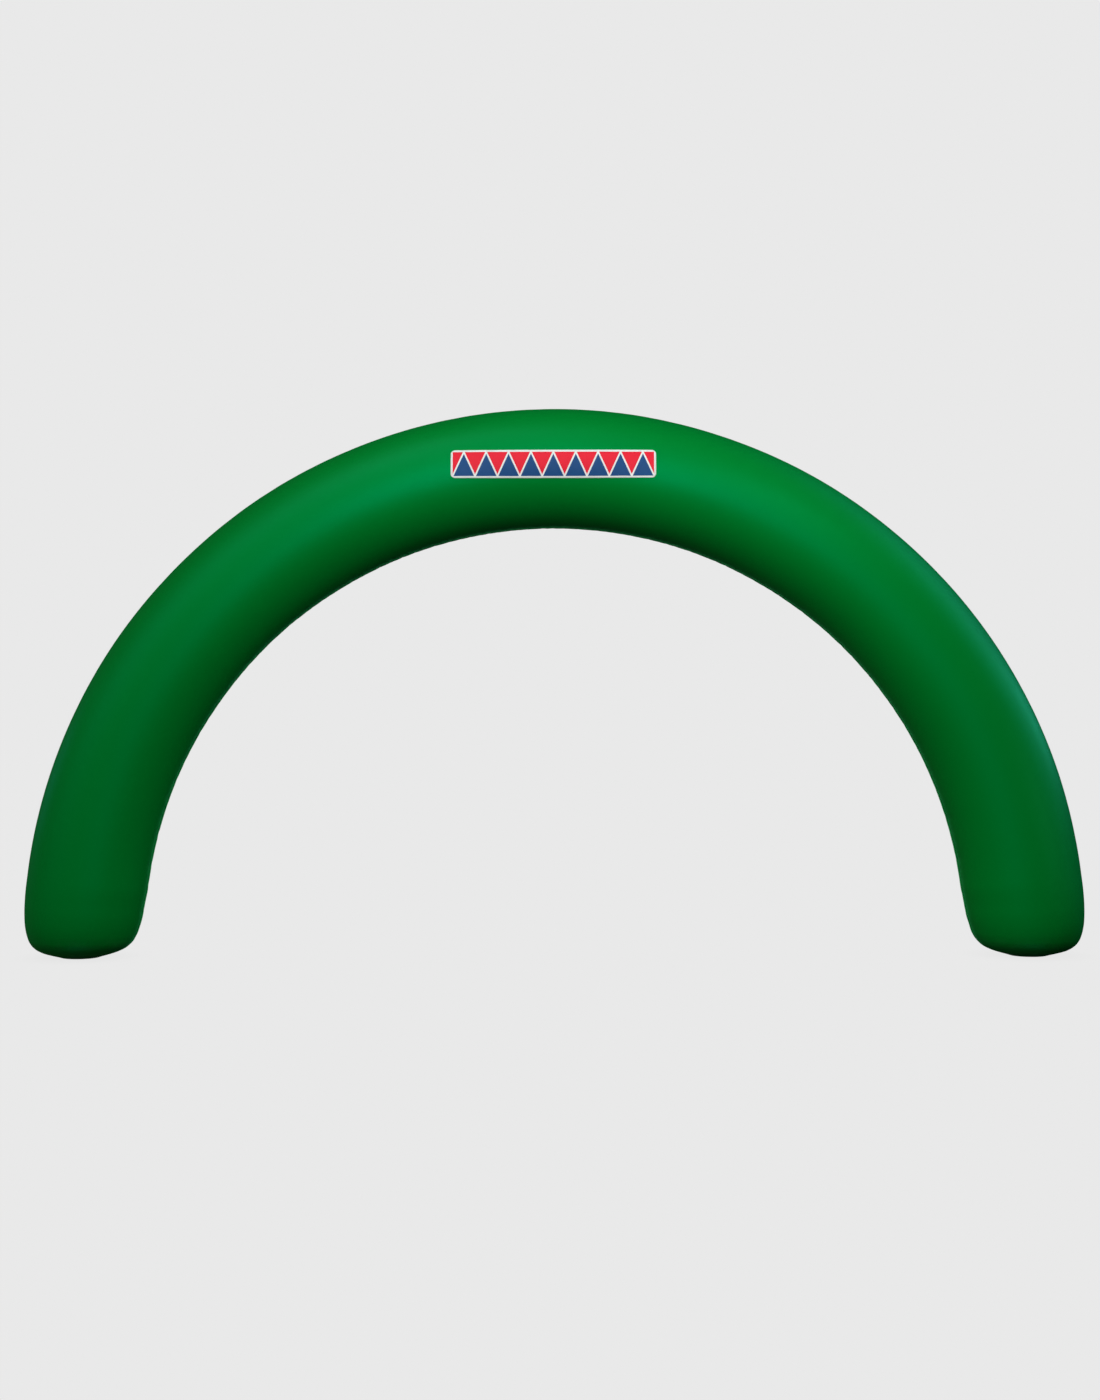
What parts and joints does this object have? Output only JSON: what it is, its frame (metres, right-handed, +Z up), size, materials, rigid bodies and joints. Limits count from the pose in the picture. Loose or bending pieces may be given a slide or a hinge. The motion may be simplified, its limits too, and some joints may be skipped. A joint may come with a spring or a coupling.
{
  "type": "inflatable arch",
  "caption": "Free-standing inflatable entrance arch: a smooth air-filled green fabric tube bent in a half circle on rounded feet, with a printed pennant banner across the crown.",
  "frame": {"origin": "on the floor, midway between the two feet", "axes": "+X along the arch's span, towards its right foot as seen from the front; +Y through the arch, away from the banner; +Z up"},
  "size_m": [6.0888, 0.689, 3.1479],
  "materials": {
    "tube_fabric": "satin coated polyester, green",
    "base_fabric": "matt heavy coated polyester, dark green",
    "banner_fabric": "satin printed polyester, off-white with blue and red pennants"
  },
  "bodies": {
    "root": {"envelope": "tube_fabric", "base_left": "base_fabric", "base_right": "base_fabric", "banner": "banner_fabric"}
  },
  "joints": []
}
